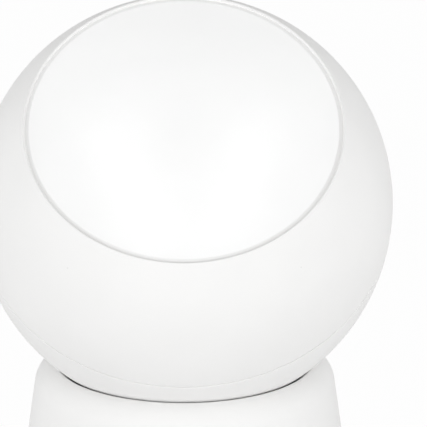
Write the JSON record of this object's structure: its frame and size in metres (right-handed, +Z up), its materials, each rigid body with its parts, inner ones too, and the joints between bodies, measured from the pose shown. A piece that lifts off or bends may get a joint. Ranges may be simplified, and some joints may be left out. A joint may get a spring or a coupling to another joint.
{
  "type": "smart speaker",
  "caption": "Tabletop smart speaker: a ball head with a round, tilted light panel sits in the socket of a flared round base, and turns and tilts on motor drives.",
  "frame": {"origin": "centre of the foot, on the table", "axes": "+Z up through the centre of the ball; the face looks towards -Y and up; +Y is the rear, with the buttons and the power inlet"},
  "size_m": [0.16, 0.16, 0.2395],
  "materials": {
    "shell_white": "satin",
    "grille_white": "satin",
    "face_white": "satin translucent",
    "socket_grey": "matte",
    "foot_rubber": "matte",
    "seal_white": "matte",
    "driver_rubber": "matte",
    "grille_cloth": "matte",
    "frame_plastic": "matte",
    "steel": "satin",
    "driver_steel": "matte",
    "ferrite": "matte",
    "gear_plastic": "satin",
    "bronze": "satin",
    "circuit_board": "satin",
    "chip_black": "satin",
    "lamp_yellow": "gloss",
    "cone_paper": "matte",
    "copper_coil": "satin",
    "cable_sheath": "matte",
    "light_white": "matte",
    "motor_can": "satin"
  },
  "bodies": {
    "base": {"foot_ring": "foot_rubber", "base_plate": "shell_white", "floor_screws": "steel", "ballast_disc": "steel", "sound_deflector": "frame_plastic", "speaker_grille": "grille_white", "acoustic_cloth": "grille_cloth", "base_shell": "shell_white", "socket_bowl": "socket_grey", "speaker_baffle": "frame_plastic", "speaker_enclosure": "frame_plastic", "driver_basket": "driver_steel", "driver_surround": "driver_rubber", "driver_spider": "grille_cloth", "driver_magnet": "ferrite", "magnet_iron": "driver_steel", "small_screws": "steel", "main_board": "circuit_board", "board_parts": "chip_black", "base_cable": "cable_sheath", "power_inlet": "steel", "switch_board": "circuit_board", "bearing_deck": "frame_plastic", "deck_screws": "steel", "bearing_outer_race": "steel", "pan_motor": "motor_can"},
    "diaphragm": {"driver_cone": "cone_paper", "dust_cap": "cone_paper", "voice_coil": "copper_coil"},
    "mute_key": {"mute_button": "shell_white"},
    "volume_up_key": {"volume_up_button": "shell_white"},
    "volume_down_key": {"volume_down_button": "shell_white"},
    "pan_drive": {"pan_pinion": "gear_plastic", "pan_motor_shaft": "steel"},
    "neck": {"turntable": "frame_plastic", "bearing_inner_race": "steel", "bearing_clip": "steel", "pan_gear": "gear_plastic", "neck_post": "frame_plastic", "neck_screws": "steel", "tilt_fork": "frame_plastic", "tilt_bushes": "bronze", "tilt_motor": "motor_can", "neck_cable": "cable_sheath"},
    "tilt_drive": {"tilt_pinion": "gear_plastic", "tilt_motor_shaft": "steel"},
    "head": {"front_shell": "shell_white", "rear_shell": "shell_white", "face_panel": "face_white", "head_chassis": "frame_plastic", "head_screws": "steel", "tilt_axles": "steel", "tilt_sector": "gear_plastic", "diffuser_film": "light_white", "light_box": "light_white", "light_board": "circuit_board", "lights": "lamp_yellow", "microphones": "circuit_board", "microphone_seals": "seal_white", "head_cable": "cable_sheath"}
  },
  "joints": [
    {"name": "head_pan", "type": "hinge", "parent": "base", "child": "neck", "pos_m": [0, 0, 0.069], "axis": [0, 0, 1], "range_deg": [-150, 150]},
    {"name": "pan_pinion_spin", "type": "hinge", "parent": "base", "child": "pan_drive", "pos_m": [0, -0.03, 0.069], "axis": [0, 0, 1], "range_deg": [-600.5, 600.5]},
    {"name": "head_tilt", "type": "hinge", "parent": "neck", "child": "head", "pos_m": [0, 0, 0.16], "axis": [1, 0, 0], "range_deg": [-15, 15]},
    {"name": "tilt_pinion_spin", "type": "hinge", "parent": "neck", "child": "tilt_drive", "pos_m": [0, 0, 0.124], "axis": [1, 0, 0], "range_deg": [-75.5, 75.5]},
    {"name": "cone_stroke", "type": "slide", "parent": "base", "child": "diaphragm", "axis": [0, 0, 1], "range_m": [-0.0012, 0.0012], "stiffness_N_per_m": 900},
    {"name": "mute_press", "type": "slide", "parent": "base", "child": "mute_key", "axis": [0, -0.9895, -0.1444], "range_m": [0, 0.0008], "stiffness_N_per_m": 500},
    {"name": "volume_up_press", "type": "slide", "parent": "base", "child": "volume_up_key", "axis": [0, -0.9895, -0.1444], "range_m": [0, 0.0008], "stiffness_N_per_m": 500},
    {"name": "volume_down_press", "type": "slide", "parent": "base", "child": "volume_down_key", "axis": [0, -0.9895, -0.1444], "range_m": [0, 0.0008], "stiffness_N_per_m": 500}
  ],
  "couplings": [
    {"joint": "pan_pinion_spin", "follows": "head_pan", "ratio": -4},
    {"joint": "tilt_pinion_spin", "follows": "head_tilt", "ratio": -5}
  ]
}
